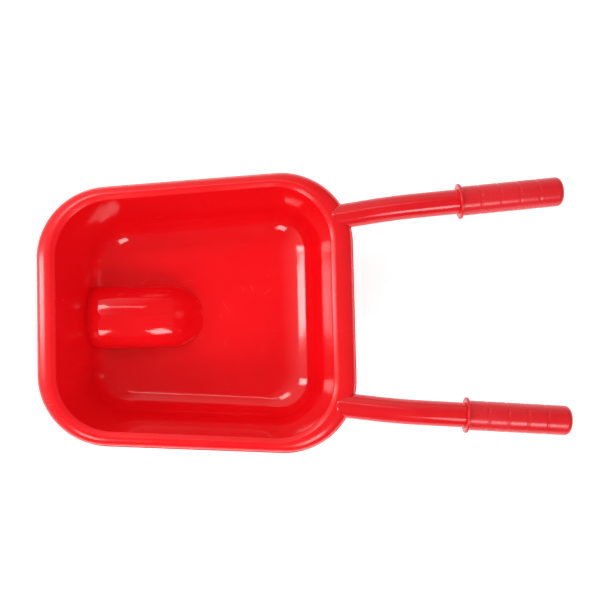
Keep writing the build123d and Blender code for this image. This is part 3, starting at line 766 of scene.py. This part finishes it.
# %% Red plastics
tray_red = plastic("tray_red", (0.86, 0.006, 0.010), (0.82, 0.004, 0.008), 0.5, (0.06, 0.12), worn=0.12)
handle_red = plastic("handle_red", (0.75, 0.008, 0.014), (0.70, 0.006, 0.011), 0.2, (0.12, 0.20))
frame_red = plastic("frame_red", (0.80, 0.006, 0.009), (0.74, 0.004, 0.007), 0.6, (0.16, 0.26))
grip_red = plastic("grip_red", (0.74, 0.012, 0.020), (0.69, 0.008, 0.014), 0.08, (0.20, 0.30))
bearing_white = plastic("bearing_white", (0.72, 0.71, 0.66), (0.63, 0.62, 0.57), 0.3, (0.30, 0.42))
print("the tray's red has", len(tray_red.node_tree.nodes), "nodes")

# %% [markdown]
# Rubber is dull and a little grey where it has been scuffed by the ground. The steel is plated and drawn, so
# its roughness runs along its length in fine lines.

# %% Rubber and steel
def rubber(name, colour, dust, grain):
    """Dull rubber: dust that gathers in patches, and a fine grain in its skin."""
    material, tree, shader, place = start_material(name, IOR=1.52)
    patches = ramp(tree, noise(tree, place, 22.0, 5.0), 0.48, 0.72, 0.0, 0.55)
    specks = ramp(tree, noise(tree, place, 260.0, 2.0), 0.55, 0.7)
    dusty = times(tree, patches, times(tree, specks, 0.35, "ADD"))
    tree.links.new(blend_colours(tree, dusty, colour, dust), shader.inputs["Base Color"])
    rough = ramp(tree, noise(tree, place, 90.0, 4.0), 0.3, 0.7, 0.55, 0.78)
    tree.links.new(rough, shader.inputs["Roughness"])
    tree.links.new(bump(tree, noise(tree, place, grain, 3.0), 0.35, 0.00025), shader.inputs["Normal"])
    return material


def plated_steel(name):
    """Zinc-plated steel: drawn lines across, a bluish drift in tone and dull spots."""
    material, tree, shader, place = start_material(name, Metallic=1.0)
    lines = noise(tree, place, 120.0, 4.0, (1, 25, 1))
    drift = ramp(tree, noise(tree, place, 60.0, 3.0), 0.35, 0.65)
    tone = blend_colours(tree, drift, (0.55, 0.56, 0.59), (0.68, 0.67, 0.65))
    tree.links.new(tone, shader.inputs["Base Color"])
    tree.links.new(ramp(tree, lines, 0.3, 0.7, 0.22, 0.42), shader.inputs["Roughness"])
    tree.links.new(bump(tree, lines, 0.2, 0.00004), shader.inputs["Normal"])
    return material


tyre_black = rubber("tyre_black", (0.018, 0.018, 0.019), (0.12, 0.105, 0.09), 420.0)
foot_black = rubber("foot_black", (0.02, 0.02, 0.021), (0.14, 0.12, 0.10), 600.0)
steel = plated_steel("plated_steel")


# %% Every piece gets its finish
def finish(material, *pieces):
    """Gives each piece one material."""
    for piece in pieces:
        piece.data.materials.clear()
        piece.data.materials.append(material)
    print(material.name, "is on", ", ".join(piece.name for piece in pieces))


def cad(*names):
    """The frame's own objects of these nodes."""
    return [nodes[name] for name in names]


made = bpy.data.objects
finish(tray_red, tray)
finish(handle_red, made["tube_handle_right"], made["tube_handle_left"])
finish(grip_red, made["sleeve_grip_right"], made["sleeve_grip_left"])
finish(frame_red, *cad("fork_left", "fork_right", "leg_left", "leg_right", "leg_brace"))
finish(frame_red, *cad("wheel_half_left", "wheel_half_right"))
finish(bearing_white, *cad("bush_left", "bush_right", "axle_caps"))
finish(tyre_black, tyre)
finish(foot_black, *cad("foot_left", "foot_right"))
finish(steel, *cad("axle", "washers", "handle_screws", "frame_screws", "wheel_screws"))

# %% [markdown]
# ## Floor, light and camera
#
# Glossy plastic shows what stands around it, so the light is chosen for its reflections. What the gloss sees
# is bright on the wheel's side and to the right, and dim overhead and behind, which keeps the tray's floor a
# deep red while the rim stays pale. Everything else is lit evenly. Softboxes draw the bright strips and
# patches, and a large faint panel overhead, which the gloss doesn't see, adds a little. The floor is white
# paper.

# %% Floor
def stage_floor(half=4.0):
    """A pale square on the ground, which shines faintly so that shadows stay soft."""
    corners = [(-half, -half, 0), (half, -half, 0), (half, half, 0), (-half, half, 0)]
    mesh = bpy.data.meshes.new("paper_floor")
    mesh.from_pydata(corners, [], [(0, 1, 2, 3)])
    paper = bpy.data.objects.new("paper_floor", mesh)
    bpy.context.scene.collection.objects.link(paper)
    white, tree, shader, place = start_material("white_paper", Roughness=0.9, Specular_IOR_Level=0.1)
    fibres = ramp(tree, noise(tree, place, 50.0, 4.0), 0.3, 0.7)
    tone = blend_colours(tree, fibres, (0.93, 0.93, 0.93), (0.96, 0.96, 0.96))
    tree.links.new(tone, shader.inputs["Base Color"])
    shader.inputs["Emission Color"].default_value = (1, 1, 1, 1)
    shader.inputs["Emission Strength"].default_value = 0.35
    mesh.materials.append(white)


stage_floor()


# %% Sky
def studio_sky(even, dim, bright):
    """A white world of even strength, but for the gloss, which sees it go from dim to bright sideways.

    The share is the direction's dot product with a line towards the front, the right and a little down.
    """
    sky = bpy.data.worlds.new("studio_sky")
    sky.use_nodes = True
    bpy.context.scene.world = sky
    tree = sky.node_tree
    towards = tree.nodes.new("ShaderNodeVectorMath")
    towards.operation = "DOT_PRODUCT"
    towards.inputs[1].default_value = (-0.75, 0.55, -0.35)
    tree.links.new(tree.nodes.new("ShaderNodeTexCoord").outputs["Generated"], towards.inputs[0])
    seen_by_gloss = ramp(tree, towards.outputs["Value"], -0.15, 0.30, dim - even, bright - even)
    is_gloss = tree.nodes.new("ShaderNodeLightPath").outputs["Is Glossy Ray"]
    level = times(tree, times(tree, is_gloss, seen_by_gloss), even, "ADD")
    tree.links.new(level, tree.nodes["Background"].inputs["Strength"])
    tree.nodes["Background"].inputs["Color"].default_value = (1, 1, 1, 1)


studio_sky(0.62, 0.10, 0.84)


# %% Softboxes
def softbox(name, place, width, height, brightness):
    """An area light that faces the tray. Its power is pi times brightness times area, in watts."""
    lamp = bpy.data.lights.new(name, "AREA")
    lamp.shape = "RECTANGLE"
    lamp.size, lamp.size_y = width, height
    lamp.energy = np.pi * brightness * width * height
    box = bpy.data.objects.new(name, lamp)
    bpy.context.scene.collection.objects.link(box)
    centre = np.array([tray_x, 0.0, floor_z])
    box.location = centre + np.array(place)
    aim = np.array(place) / np.linalg.norm(place)
    tilt, spin = np.arccos(aim[2]), np.arctan2(aim[1], aim[0])
    box.rotation_euler = (0.0, tilt, spin)
    print(name, "gives", round(lamp.energy, 1), "W")
    return box


softbox("front_window", (-1.20, 0.10, 0.72), 0.80, 0.24, 12.0)
softbox("right_window", (0.02, 0.75, 1.50), 0.10, 0.74, 3.5)
softbox("side_window", (-0.62, 0.75, 1.50), 0.30, 0.40, 9.0)
softbox("left_panel", (0.60, -1.05, 1.15), 0.44, 0.42, 9.0)
softbox("corner_panel", (-0.60, -0.95, 1.10), 0.44, 0.36, 9.0)
softbox("overhead_fill", (0.0, 0.0, 2.20), 2.0, 2.0, 0.2).visible_glossy = False


# %% Camera
def stand_camera():
    """A 50 mm lens about a metre above the rim, looking almost straight down."""
    camera = bpy.data.objects.new("camera", bpy.data.cameras.new("camera"))
    bpy.context.scene.collection.objects.link(camera)
    camera.data.lens = 50.0
    camera.data.sensor_width = 36.0
    camera.location = (tray_x + 0.0454, -0.0319, rim_z + 0.9858)
    camera.rotation_euler = np.radians([2.712, -4.343, -1.354])
    bpy.context.scene.camera = camera


stand_camera()
bpy.context.scene.view_settings.view_transform = "Standard"
